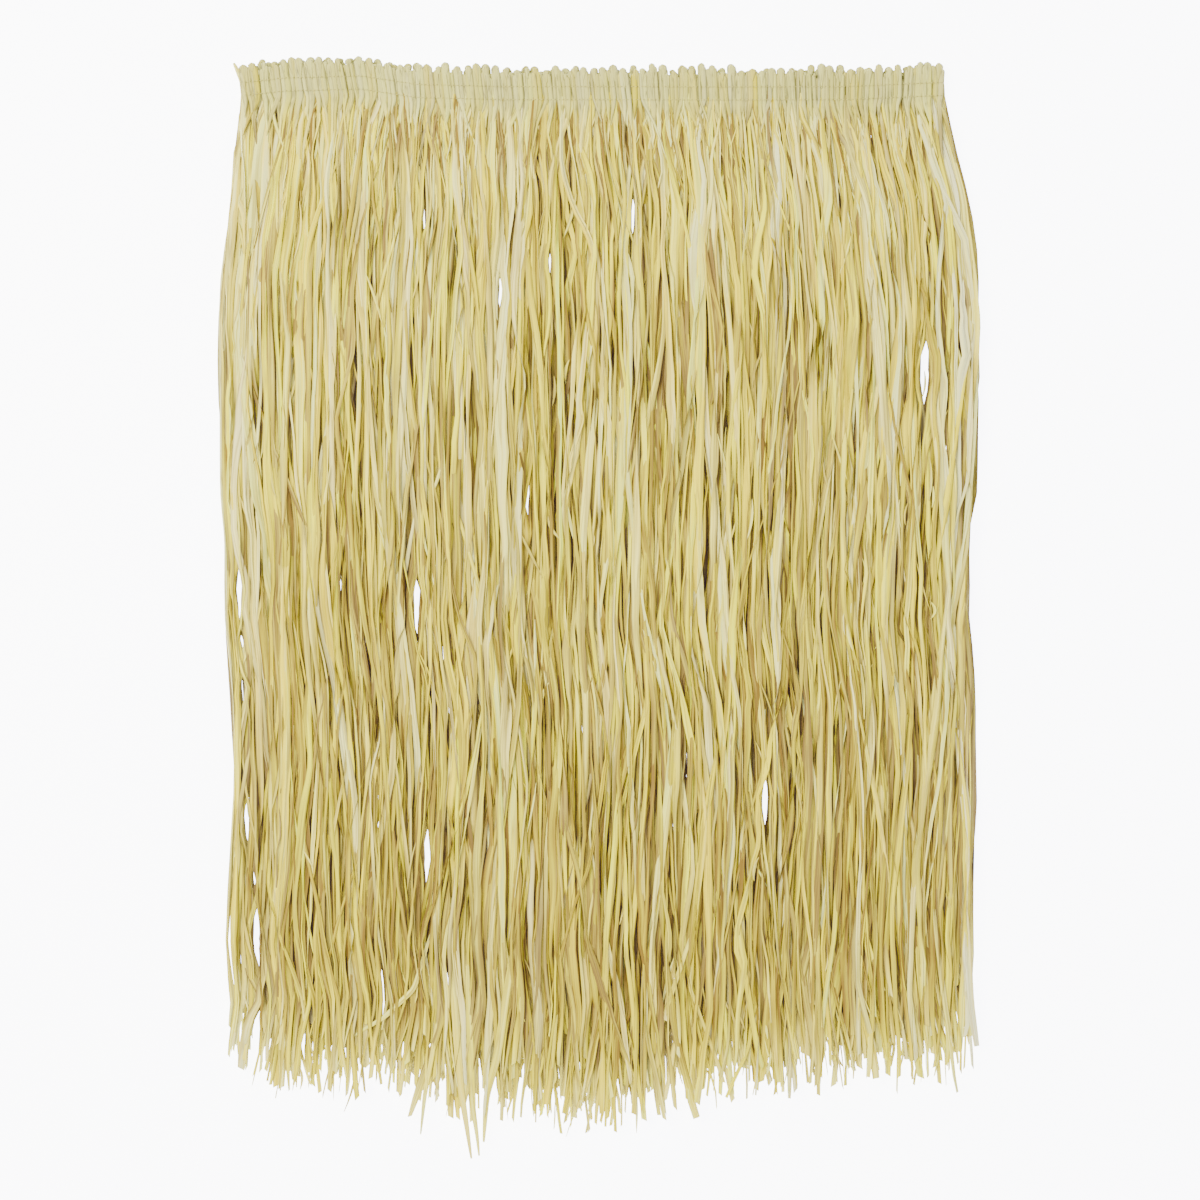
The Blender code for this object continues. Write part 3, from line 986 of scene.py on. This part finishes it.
def add_node(tree, kind, settings=None, inputs=None):
    """Adds a node, sets it up, and then gives its sockets values or links."""
    node = tree.nodes.new(kind)
    for name, value in (settings or {}).items():
        if name == "stops":
            set_stops(node.color_ramp, value)
        else:
            setattr(node, name, value)
    for key, value in (inputs or {}).items():
        socket = node.inputs[key]
        if isinstance(value, Shade):
            tree.links.new(value.socket, socket)
        elif isinstance(value, bpy.types.NodeSocket):
            tree.links.new(value, socket)
        else:
            socket.default_value = value
    return node


def set_stops(ramp, stops):
    """Gives a colour ramp its stops, each a place and a colour."""
    while len(ramp.elements) < len(stops):
        ramp.elements.new(0.5)
    for element, (place, colour) in zip(ramp.elements, stops):
        element.position = place
        element.color = opaque(colour)


def empty_material(name):
    """A material with its Principled shader and output alone."""
    material = bpy.data.materials.new(name)
    material.use_nodes = True
    return material, material.node_tree, material.node_tree.nodes["Principled BSDF"]


def fibre_noise(tree, fibre, across_scale, along_scale, detail=2.0):
    """Noise that is stretched along a ribbon and differs from one ribbon to the next."""
    scaled = add_node(
        tree,
        "ShaderNodeVectorMath",
        {"operation": "MULTIPLY"},
        {0: fibre, 1: (across_scale, along_scale, 1.0)},
    )
    inputs = {"Vector": scaled.outputs[0], "Scale": 1.0, "Detail": detail}
    noise = add_node(tree, "ShaderNodeTexNoise", None, inputs)
    return Shade(tree, noise.outputs[0])


def opaque(colour):
    return (*colour, 1.0)


def mix_colours(tree, factor, first, second):
    settings = {"data_type": "RGBA", "blend_type": "MIX"}
    node = add_node(tree, "ShaderNodeMix", settings, {0: factor, 6: first, 7: second})
    return node.outputs[2]


def saturate(tree, saturation, colour, hue=0.5):
    """The colour made paler or more golden, as bright as before, and at a hue over 0.5 a little greener."""
    inputs = {"Hue": hue, "Saturation": saturation, "Color": colour}
    return add_node(tree, "ShaderNodeHueSaturation", None, inputs).outputs[0]


def thin_lines(noise, sharpness):
    """Thin lines where a noise passes through its middle value."""
    return (1.0 - noise.math("ABSOLUTE", noise - 0.5, 0.0) * sharpness).clamped()


def read_attribute(tree, label):
    return Shade(tree, add_node(tree, "ShaderNodeAttribute", {"attribute_name": label}).outputs["Fac"])


def strand_stops(colours):
    return (
        (0.0, colours.green_cream),
        (0.25, colours.cream),
        (0.43, colours.yellow),
        (0.62, colours.straw),
        (0.83, colours.gold),
        (1.0, colours.brown),
    )


def fibre_place(tree):
    """The fibre attribute: millimetres across a ribbon, millimetres along it, and its own number."""
    return add_node(tree, "ShaderNodeAttribute", {"attribute_name": "fibre"}).outputs["Vector"]


def raffia_depth(tree, fibre, streaks, evenness):
    """How deep the raffia's colour is: a ribbon's own tone with streaks, bands and patches, and rims painted
    darker as the shade between ribbons.
    """
    bands = fibre_noise(tree, fibre, 0.36, 0.008)
    patches = fibre_noise(tree, fibre, 0.10, 0.016)
    depth = read_attribute(tree, "tone") + (streaks - 0.5) * (0.9 * evenness)
    depth = depth + (bands - 0.5) * (1.1 * evenness) + (patches - 0.5) * (0.8 * evenness)
    # Painted shade: each ribbon's rims are darkened.
    return depth + read_attribute(tree, "rim").above(0.62, 2.7) * (0.40 * evenness)


def finish_raffia(tree, shader, fibre, streaks, folds, colour):
    """The raffia's dull waxy sheen and its lengthwise ridges, folds and crumples."""
    crumples = fibre_noise(tree, fibre, 0.9, 0.22, detail=4.0)
    tree.links.new(colour, shader.inputs["Base Color"])
    shader.inputs["Metallic"].default_value = 0.0
    shader.inputs["Specular IOR Level"].default_value = 0.35
    roughness = 0.5 + streaks * 0.25
    tree.links.new(roughness.socket, shader.inputs["Roughness"])
    height = streaks * 0.6 + crumples * 0.8 - folds * 0.5
    bump = add_node(tree, "ShaderNodeBump", None, {"Strength": 0.55, "Distance": 0.0006, "Height": height})
    tree.links.new(bump.outputs[0], shader.inputs["Normal"])


def strand_material(slot, colours):
    """Loose raffia: lengthwise fibres, folds with shade painted along them, slow patches of tone, a few
    flecks and a faint painted glow.
    """
    name = "raffia_" + slot
    if name in bpy.data.materials:
        return bpy.data.materials[name]
    material, tree, shader = empty_material(name)
    fibre = fibre_place(tree)
    streaks = fibre_noise(tree, fibre, 0.95, 0.013, detail=3.0)
    folds = thin_lines(fibre_noise(tree, fibre, 0.34, 0.012, detail=0.0), 16.0)
    depth = raffia_depth(tree, fibre, streaks, 1.0)
    ramp = add_node(tree, "ShaderNodeValToRGB", {"stops": strand_stops(colours)}, {0: depth})
    golden = fibre_noise(tree, fibre, 0.28, 0.010)
    variety = 1.0 - depth.clamped() * 0.75
    saturation = read_attribute(tree, "saturation") + (golden - 0.5) * variety * 0.85
    saturation = saturation + depth.clamped() * 0.10 - 0.01
    hue = 0.5 + (fibre_noise(tree, fibre, 0.03, 0.003) - 0.5) * variety * 0.095
    colour = saturate(tree, saturation, ramp.outputs[0], hue)
    flecks = fibre_noise(tree, fibre, 2.2, 0.45)
    colour = mix_colours(tree, flecks.above(0.72, 9.0) * 0.5, colour, opaque(colours.gold))
    # Painted shade: the fold lines are darkened towards gold.
    colour = mix_colours(tree, folds * 0.55, colour, opaque(colours.gold))
    finish_raffia(tree, shader, fibre, streaks, folds, colour)
    # A faint glow painted on every strand, not a lamp, which lightens the shade in the gaps.
    shader.inputs["Emission Color"].default_value = opaque(colours.painted_gap_glow)
    shader.inputs["Emission Strength"].default_value = colours.painted_gap_glow_strength
    return material


def header_material(slot, colours):
    """Folded raffia, duller than the fringe's, with shade painted down each loop's middle fold, at its rims
    and in thin lines between loops.
    """
    material, tree, shader = empty_material("raffia_" + slot)
    fibre = fibre_place(tree)
    streaks = fibre_noise(tree, fibre, 0.95, 0.020, detail=3.0)
    drop = Shade(tree, add_node(tree, "ShaderNodeSeparateXYZ", None, {0: fibre}).outputs["Y"])
    rim = read_attribute(tree, "rim")
    broken = fibre_noise(tree, fibre, 0.2, 0.11).above(0.40, 5.0)
    # Painted shade: a dark line down each loop's middle, dark rims and thin wandering lines, for the shade
    # in its fold and between loops.
    middle = (1.0 - rim * 9.0).clamped() * (drop * 0.2 - 0.2).clamped() * broken * 0.5
    edge = rim.above(0.50, 2.6)
    wander = thin_lines(fibre_noise(tree, fibre, 0.60, 0.030, detail=0.0), 20.0) * broken
    folds = (middle * 0.9 + edge * 0.8 + wander * 0.9).clamped()
    depth = raffia_depth(tree, fibre, streaks, 0.6)
    stops = ((0.0, colours.waist_pale), (0.5, colours.waist), (1.0, colours.straw))
    inside = add_node(tree, "ShaderNodeValToRGB", {"stops": stops}, {0: depth})
    below = add_node(tree, "ShaderNodeValToRGB", {"stops": strand_stops(colours)}, {0: depth + 0.02})
    colour = mix_colours(tree, drop.above(22.0, 0.05), inside.outputs[0], below.outputs[0])
    colour = saturate(tree, read_attribute(tree, "saturation"), colour)
    # The shade is painted into these folds here.
    colour = mix_colours(tree, folds * 0.76, colour, opaque(colours.painted_shade))
    finish_raffia(tree, shader, fibre, streaks, folds, colour)
    return material


def thread_material(colours):
    """Twisted sewing thread."""
    material, tree, shader = empty_material("thread")
    place = add_node(tree, "ShaderNodeTexCoord").outputs["Object"]
    wave = add_node(
        tree,
        "ShaderNodeTexWave",
        {"bands_direction": "DIAGONAL"},
        {"Vector": place, "Scale": 900.0, "Distortion": 1.5},
    )
    lay = Shade(tree, wave.outputs[1])
    colour = mix_colours(tree, lay * 0.35, opaque(colours.thread), opaque(colours.straw))
    tree.links.new(colour, shader.inputs["Base Color"])
    shader.inputs["Roughness"].default_value = 0.6
    bump = add_node(tree, "ShaderNodeBump", None, {"Strength": 0.4, "Distance": 0.0002, "Height": lay})
    tree.links.new(bump.outputs[0], shader.inputs["Normal"])
    return material


def hole_material(colours):
    """The shade inside a needle hole."""
    material, tree, shader = empty_material("needle_hole")
    place = add_node(tree, "ShaderNodeTexCoord").outputs["Object"]
    noise = add_node(tree, "ShaderNodeTexNoise", None, {"Vector": place, "Scale": 400.0})
    colour = mix_colours(tree, noise.outputs[0], opaque(colours.painted_shade), opaque(colours.brown))
    tree.links.new(colour, shader.inputs["Base Color"])
    shader.inputs["Roughness"].default_value = 0.9
    return material


# --- Stitches ---------------------------------------------------------------------------------------


THREAD_RISE = 0.42 * MM  # how far the thread's middle stands above the raffia


def stitch_row_mesh(name, drop, front):
    """An open line of edges over the header's face, along one row of sewing."""
    share = np.linspace(0.004, 0.996, 160)
    x = across(share, drop)
    wall = read_table(LOOP_ROWS, "drop", "wall", drop) * MM
    above = wall + THREAD_RISE
    z = FRONT_FLOOR + above if front else max(HEADER_WALL - above, 0.3 * MM)
    points = skirt_point(x, np.full_like(x, drop), np.full_like(x, z))
    mesh = bpy.data.meshes.new(name)
    mesh.from_pydata(points.tolist(), [(n, n + 1) for n in range(len(points) - 1)], [])
    return mesh


def new_row_tree(name, sizes):
    """A tree that takes a line of edges and these named sizes, and its input node."""
    tree = bpy.data.node_groups.new(name, "GeometryNodeTree")
    tree.interface.new_socket("Line", in_out="INPUT", socket_type="NodeSocketGeometry")
    for label in sizes:
        tree.interface.new_socket(label, in_out="INPUT", socket_type="NodeSocketFloat")
    tree.interface.new_socket("Sewing", in_out="OUTPUT", socket_type="NodeSocketGeometry")
    return tree, add_node(tree, "NodeGroupInput")


def spaced_points(tree, given):
    """Points at each pitch along the line."""
    curve = add_node(tree, "GeometryNodeMeshToCurve", None, {0: given.outputs["Line"]})
    inputs = {"Curve": curve.outputs[0], "Length": given.outputs["Pitch"]}
    return add_node(tree, "GeometryNodeResampleCurve", {"mode": "LENGTH"}, inputs).outputs[0]


def end_row_tree(tree, instances, material):
    """Ends a tree by making its instances real and giving them their material."""
    real = add_node(tree, "GeometryNodeRealizeInstances", None, {0: instances})
    inputs = {"Geometry": real.outputs[0], "Material": material}
    finished = add_node(tree, "GeometryNodeSetMaterial", None, inputs)
    add_node(tree, "NodeGroupOutput", None, {0: finished.outputs[0]})
    return tree


def stitch_tree(material):
    """Lays a stitch of thread at each pitch along a line of edges."""
    tree, given = new_row_tree("stitches", ("Pitch", "Thread", "Stitch share"))
    tangent = add_node(tree, "GeometryNodeInputTangent")
    turn = add_node(tree, "FunctionNodeAlignRotationToVector", {"axis": "X"}, {"Vector": tangent.outputs[0]})
    ball = add_node(tree, "GeometryNodeMeshUVSphere", None, {"Segments": 6, "Rings": 4, "Radius": 0.5})
    length = Shade(tree, given.outputs["Pitch"]) * Shade(tree, given.outputs["Stitch share"])
    thread = given.outputs["Thread"]
    size = add_node(tree, "ShaderNodeCombineXYZ", None, {0: length, 1: thread, 2: thread})
    inputs = {
        "Points": spaced_points(tree, given),
        "Instance": ball.outputs["Mesh"],
        "Rotation": turn.outputs[0],
        "Scale": size.outputs[0],
    }
    placed = add_node(tree, "GeometryNodeInstanceOnPoints", None, inputs)
    return end_row_tree(tree, placed.outputs[0], material)


def hole_tree(material):
    """Sets a needle hole between every two stitches along a line of edges."""
    tree, given = new_row_tree("needle_holes", ("Pitch", "Hole"))
    tangent = add_node(tree, "GeometryNodeInputTangent")
    half_pitch = {0: tangent.outputs[0], "Scale": Shade(tree, given.outputs["Pitch"]) * 0.5}
    offset = add_node(tree, "ShaderNodeVectorMath", {"operation": "SCALE"}, half_pitch)
    moved = {"Geometry": spaced_points(tree, given), "Offset": offset.outputs[0]}
    between = add_node(tree, "GeometryNodeSetPosition", None, moved)
    dimple = {"Radius": given.outputs["Hole"], "Subdivisions": 1}
    ball = add_node(tree, "GeometryNodeMeshIcoSphere", None, dimple)
    inputs = {"Points": between.outputs[0], "Instance": ball.outputs["Mesh"]}
    sunk = add_node(tree, "GeometryNodeInstanceOnPoints", None, inputs)
    return end_row_tree(tree, sunk.outputs[0], material)


def set_tree_input(modifier, label, value):
    """Sets a modifier's input by its socket's identifier."""
    for item in modifier.node_group.interface.items_tree:
        if item.item_type == "SOCKET" and item.in_out == "INPUT" and item.name == label:
            modifier[item.identifier] = value


def sew_row(name, line_mesh, tree, inputs):
    """Runs a tree along a line of edges with these named sizes, and gives back a plain mesh object."""
    line = place_object(name + "_line", line_mesh)
    modifier = line.modifiers.new("sewing", "NODES")
    modifier.node_group = tree
    for label, value in inputs.items():
        set_tree_input(modifier, label, value)
    evaluated = line.evaluated_get(bpy.context.evaluated_depsgraph_get())
    mesh = bpy.data.meshes.new_from_object(evaluated)
    bpy.data.objects.remove(line)
    mesh.name = name
    mesh.shade_smooth()
    return place_object(name, mesh)


# --- Operators --------------------------------------------------------------------------------------


class SKIRT_OT_headers(bpy.types.Operator):
    """Make the folded raffia loops of the front and back headers"""

    bl_idname = "skirt.headers"
    bl_label = "Waist headers"

    def execute(self, context):
        scene = context.scene
        for node, front, seed in (("front_header", True, 301), ("back_header", False, 311)):
            material = header_material(node, scene.raffia_colours)
            lay = raise_to_front if front else turn_to_back
            rows = []
            for rows_back in (0, 1):
                chance = np.random.default_rng(seed + rows_back)
                loops = Loops(chance, scene.header_sizes, rows_back)
                rows.append(ribbon_object(f"{node}_folds_{rows_back}", lay(loops.folds()), material))
                rows.append(ribbon_object(f"{node}_legs_{rows_back}", lay(loops.legs()), material))
            piece = join_objects(node + "_loops", rows)
            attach(piece, BODY)
            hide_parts(node)
        return {"FINISHED"}


class SKIRT_OT_strands(bpy.types.Operator):
    """Make every layer of loose raffia strands"""

    bl_idname = "skirt.strands"
    bl_label = "Strands"

    def execute(self, context):
        scene = context.scene
        for group in GROUPS:
            material = strand_material(group.node, scene.raffia_colours)
            piece = ribbon_object(group.name, strand_ribbons(group, scene.strand_sizes), material)
            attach(piece, BODY)
            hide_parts(group.node)
        return {"FINISHED"}


class SKIRT_OT_strays(bpy.types.Operator):
    """Make the few strands that lie across the others, and the torn slivers"""

    bl_idname = "skirt.strays"
    bl_label = "Stray strands"

    def execute(self, context):
        scene = context.scene
        sizes = scene.strand_sizes
        material = strand_material("front_outer_fringe", scene.raffia_colours)
        chance = np.random.default_rng(223)
        slivers = sliver_ribbons(chance, sliver_places(chance), sizes)
        parts = [
            ribbon_object("long_strays", stray_ribbons(sizes), material),
            ribbon_object("slivers", slivers, material),
        ]
        piece = join_objects("stray_strands", parts)
        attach(piece, BODY)
        return {"FINISHED"}


class SKIRT_OT_stitches(bpy.types.Operator):
    """Sew two rows of stitches across the front and the back header"""

    bl_idname = "skirt.stitches"
    bl_label = "Sewing"

    def execute(self, context):
        scene = context.scene
        sizes = scene.stitch_sizes
        thread = stitch_tree(thread_material(scene.raffia_colours))
        holes = hole_tree(hole_material(scene.raffia_colours))
        thread_sizes = {"Pitch": sizes.pitch, "Thread": sizes.thread, "Stitch share": sizes.stitch_share}
        hole_sizes = {"Pitch": sizes.pitch, "Hole": sizes.hole}
        for node, front in (("front_header", True), ("back_header", False)):
            rows = []
            for row, drop in (("upper", sizes.upper_drop), ("lower", sizes.lower_drop)):
                line = stitch_row_mesh(f"{node}_{row}_line", drop, front)
                rows.append(sew_row(f"{node}_{row}_stitches", line, thread, thread_sizes))
                rows.append(sew_row(f"{node}_{row}_holes", line, holes, hole_sizes))
            piece = join_objects(node + "_stitches", rows)
            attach(piece, BODY)
        return {"FINISHED"}


class SKIRT_OT_cut(bpy.types.Operator):
    """Gather for each header the names of what is sewn into it and of what it lies on, without passing them
    on
    """

    bl_idname = "skirt.cut"
    bl_label = "Cut sizes"

    def execute(self, context):
        for side, under in (("front", "back_header_loops"), ("back", "floor")):
            sewn_in = [group.name for group in GROUPS if group.name.startswith(side)]
            sewn_in.append(side + "_header_stitches")
            if side == "front":
                sewn_in.append("stray_strands")
        return {"FINISHED"}


class SKIRT_OT_stage(bpy.types.Operator):
    """Set up the floor, the soft lights and the camera over the skirt"""

    bl_idname = "skirt.stage"
    bl_label = "Stage"

    def execute(self, context):
        scene = context.scene
        settings = scene.stage_settings
        make_floor(settings)
        make_lights(settings)
        make_camera(scene, settings)
        return {"FINISHED"}


FLOOR_HALF = 9.0
FLOOR_LEVEL = -0.3 * MM
LIGHT_SIZE = 1.6
SKY_COLOUR = (1.0, 0.96, 0.82, 1.0)
CAMERA_OVER = (0.3 * MM, 4.2 * MM)


def make_floor(settings):
    mesh = bpy.data.meshes.new("floor")
    quarters = ((-1, -1), (1, -1), (1, 1), (-1, 1))
    corners = [(x * FLOOR_HALF, y * FLOOR_HALF, FLOOR_LEVEL) for x, y in quarters]
    mesh.from_pydata(corners, [], [(0, 1, 2, 3)])
    material, _, shader = empty_material("floor")
    shader.inputs["Base Color"].default_value = opaque(settings.floor)
    shader.inputs["Roughness"].default_value = 0.9
    shader.inputs["Emission Color"].default_value = opaque(settings.floor_glow)
    shader.inputs["Emission Strength"].default_value = settings.glow_strength
    mesh.materials.append(material)
    place_object("floor", mesh)


def make_lights(settings):
    world = bpy.data.worlds.new("studio")
    world.use_nodes = True
    background = world.node_tree.nodes["Background"]
    background.inputs[0].default_value = SKY_COLOUR
    background.inputs[1].default_value = settings.ambient
    bpy.context.scene.world = world
    add_area_light("key", settings.key, settings.warm_light, place=(-1.3, 0.7, 2.0), tilt=(-18, -32))
    add_area_light("fill", settings.fill, settings.warm_light, place=(1.4, -0.3, 1.7), tilt=(8, 38))


def add_area_light(name, power, colour, place, tilt):
    """A large square light at this place, tilted by degrees about X and then Y from looking down."""
    light = bpy.data.lights.new(name, "AREA")
    light.shape = "SQUARE"
    light.size = LIGHT_SIZE
    light.energy = power
    light.color = colour
    item = place_object(name, light)
    item.location = place
    item.rotation_euler = (radians(tilt[0]), radians(tilt[1]), 0)


def make_camera(scene, settings):
    camera = bpy.data.cameras.new("camera")
    camera.lens = settings.camera_lens
    camera.sensor_width = 36.0
    scene.camera = place_object("camera", camera)
    scene.camera.location = (*CAMERA_OVER, settings.camera_height)


class SKIRT_PT_panel(bpy.types.Panel):
    """Lists the sizes, the colours and the steps"""

    bl_idname = "SKIRT_PT_panel"
    bl_label = "Grass skirt"
    bl_space_type = "VIEW_3D"
    bl_region_type = "UI"
    bl_category = "Skirt"

    def draw(self, context):
        layout = self.layout
        for name in SETTINGS:
            box = layout.box()
            group = getattr(context.scene, name)
            for prop in group.bl_rna.properties:
                if prop.identifier not in ("rna_type", "name"):
                    box.prop(group, prop.identifier)
        for step in STEPS:
            layout.operator(step.bl_idname)


SETTINGS = {
    "header_sizes": HeaderSizes,
    "strand_sizes": StrandSizes,
    "stitch_sizes": StitchSizes,
    "raffia_colours": RaffiaColours,
    "stage_settings": StageSettings,
}
STEPS = (
    SKIRT_OT_headers,
    SKIRT_OT_strands,
    SKIRT_OT_strays,
    SKIRT_OT_stitches,
    SKIRT_OT_stage,
    SKIRT_OT_cut,
)


def register():
    for kind in (*SETTINGS.values(), *STEPS, SKIRT_PT_panel):
        bpy.utils.register_class(kind)
    for name, kind in SETTINGS.items():
        setattr(bpy.types.Scene, name, bpy.props.PointerProperty(type=kind))


def unregister():
    for name in SETTINGS:
        delattr(bpy.types.Scene, name)
    for kind in reversed((*SETTINGS.values(), *STEPS, SKIRT_PT_panel)):
        bpy.utils.unregister_class(kind)


def main():
    register()
    bpy.ops.skirt.headers()
    bpy.ops.skirt.strands()
    bpy.ops.skirt.strays()
    bpy.ops.skirt.stitches()
    bpy.ops.skirt.stage()
    bpy.ops.skirt.cut()


if __name__ == "__main__":
    main()
